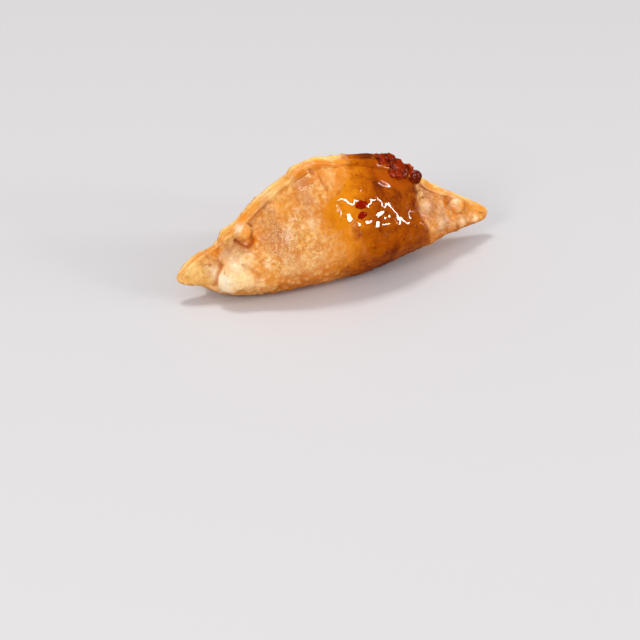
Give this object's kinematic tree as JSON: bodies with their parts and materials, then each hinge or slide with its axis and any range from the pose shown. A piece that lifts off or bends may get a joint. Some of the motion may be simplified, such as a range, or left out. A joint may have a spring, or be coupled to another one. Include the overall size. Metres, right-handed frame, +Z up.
{
  "type": "fried pork gyoza",
  "caption": "Half-moon fried dumpling with a pinched two-ply seam along its top, blistered tips and a little heap of chopped chilli on the seam.",
  "frame": {"origin": "on the flat underside that it rests on, halfway between the two tips", "axes": "+X along its length towards the slender tip, -Y out of the plump front, +Z up through the seam"},
  "size_m": [0.091, 0.0282, 0.0338],
  "materials": {
    "fried_dough": "golden fried wheat dough, blistered, slightly oily",
    "sauce_glaze": "wet amber-brown sauce, high gloss",
    "chilli_bits": "chopped dried chilli, dark red, wet"
  },
  "bodies": {
    "root": {"gyoza": "fried_dough"}
  },
  "joints": []
}
